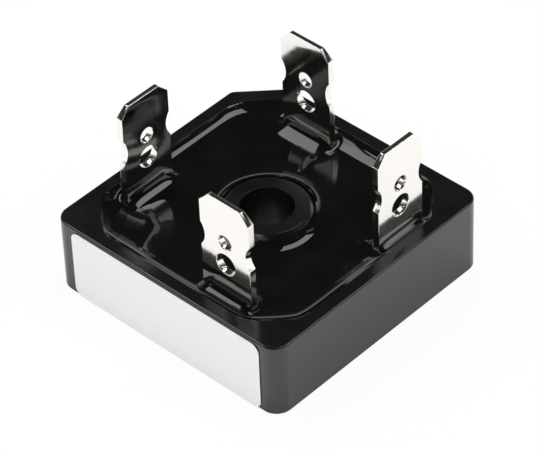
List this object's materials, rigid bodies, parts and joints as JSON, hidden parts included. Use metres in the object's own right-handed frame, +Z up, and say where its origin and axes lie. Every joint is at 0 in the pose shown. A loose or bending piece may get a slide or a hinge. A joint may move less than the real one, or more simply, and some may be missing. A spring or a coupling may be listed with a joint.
{
  "type": "bridge rectifier",
  "caption": "Square black moulded bridge rectifier with one cut corner, a centre screw bore, upright push-on tabs round a glossy potted top and a plain label on one side.",
  "frame": {"origin": "middle of the face that rests on the heat sink, on the axis of the centre bore", "axes": "+Z up along the centre bore, towards the tips of the tabs; +X along the side that carries the label, from the first AC tab's corner to the minus tab's corner; the label faces -Y and the cut corner is at -X +Y"},
  "size_m": [0.0286, 0.0286, 0.019],
  "materials": {
    "moulded_case": "matte black moulding",
    "potting_resin": "glossy black cast resin",
    "terminal_plate": "bright nickel-plated strip",
    "base_metal": "flat-ground aluminium",
    "alumina": "fired white ceramic",
    "copper": "soft bare copper",
    "silicon": "metallised silicon",
    "label_stock": "smooth white label"
  },
  "bodies": {
    "root": {"case": "moulded_case", "base_plate": "base_metal", "ceramic_sheet": "alumina", "potting": "potting_resin", "label": "label_stock", "pad_minus": "copper", "terminal_minus": "terminal_plate", "pad_ac_2": "copper", "terminal_ac_2": "terminal_plate", "pad_plus": "copper", "terminal_plus": "terminal_plate", "pad_ac_1": "copper", "terminal_ac_1": "terminal_plate", "die_1": "silicon", "strap_1": "copper", "die_2": "silicon", "strap_2": "copper", "die_3": "silicon", "strap_3": "copper", "die_4": "silicon", "strap_4": "copper"}
  },
  "joints": []
}
